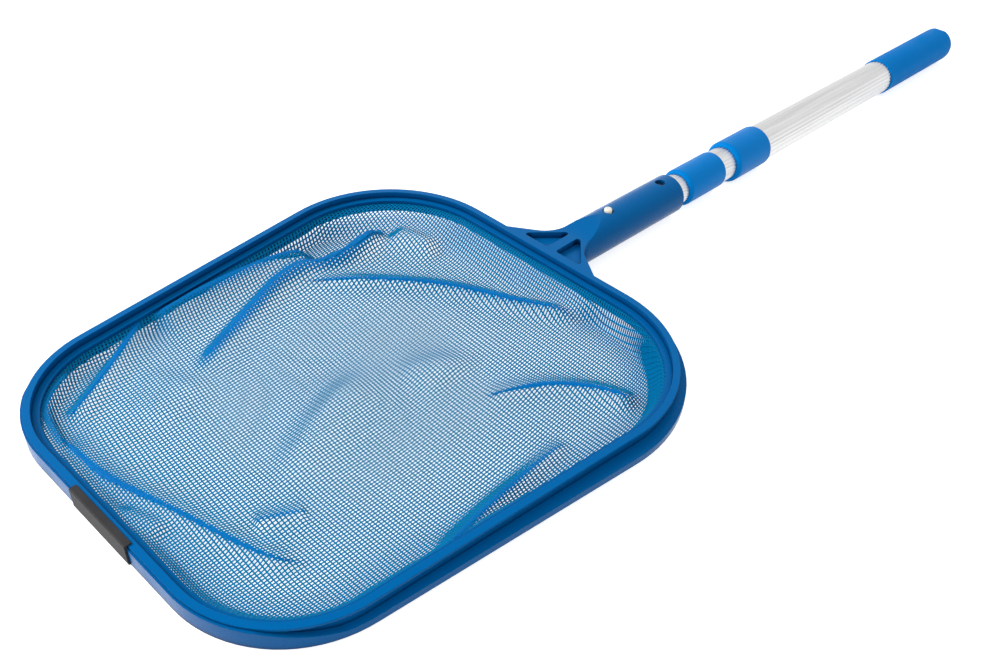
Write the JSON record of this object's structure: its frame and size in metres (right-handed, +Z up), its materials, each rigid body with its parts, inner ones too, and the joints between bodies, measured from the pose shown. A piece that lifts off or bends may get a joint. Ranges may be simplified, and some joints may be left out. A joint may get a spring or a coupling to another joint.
{
  "type": "leaf skimmer net",
  "caption": "Flat pool leaf skimmer: a blue moulded hoop with a slack mesh net and a front bumper on a twist-lock telescopic aluminium pole with a snap-button socket.",
  "frame": {"origin": "Middle of the overall length with the pole slid in, on the middle line, on the surface that the front of the hoop and the large collar lie on.", "axes": "+X along the pole from the hoop to the grip, +Y across the hoop, +Z up from the surface it lies on."},
  "size_m": [0.8736, 0.3018, 0.0315],
  "materials": {
    "frame_plastic": "semi-gloss moulded blue plastic",
    "net_fabric": "fine blue woven polyester mesh",
    "bumper_rubber": "matt dark grey rubber",
    "tube_aluminium": "fluted, satin anodised",
    "button_plastic": "ivory moulded plastic",
    "spring_steel": "spring steel strip",
    "lock_plastic": "natural moulded plastic, inside the tubes",
    "collar_plastic": "satin moulded blue plastic",
    "grip_plastic": "matt soft blue plastic"
  },
  "bodies": {
    "head": {"head_frame": "frame_plastic", "net_clamp_ring": "frame_plastic", "net": "net_fabric", "front_bumper": "bumper_rubber", "inner_tube": "tube_aluminium", "button_spring": "spring_steel", "lock_core_1": "lock_plastic"},
    "button": {"snap_button": "button_plastic"},
    "lock_1": {"lock_ring_1": "lock_plastic"},
    "middle": {"mid_tube": "tube_aluminium", "collar_1": "collar_plastic", "lock_core_2": "lock_plastic"},
    "lock_2": {"lock_ring_2": "lock_plastic"},
    "outer": {"outer_tube": "tube_aluminium", "collar_2": "collar_plastic", "grip": "grip_plastic"}
  },
  "joints": [
    {"name": "button_press", "type": "slide", "parent": "head", "child": "button", "axis": [0, 0, -1], "range_m": [0, 0.0052], "stiffness_N_per_m": 2500, "springref_m": -0.001, "deforming": ["button_spring"]},
    {"name": "twist_lock_1", "type": "hinge", "parent": "head", "child": "lock_1", "pos_m": [0.35651, 0, 0.0156], "axis": [1, 0, 0], "range_deg": [-90, 90]},
    {"name": "slide_1", "type": "slide", "parent": "lock_1", "child": "middle", "axis": [1, 0, 0], "range_m": [-0.006, 0.275]},
    {"name": "twist_lock_2", "type": "hinge", "parent": "middle", "child": "lock_2", "pos_m": [0.40461, 0, 0.0156], "axis": [1, 0, 0], "range_deg": [-90, 90]},
    {"name": "slide_2", "type": "slide", "parent": "lock_2", "child": "outer", "axis": [1, 0, 0], "range_m": [-0.01, 0.27]}
  ]
}
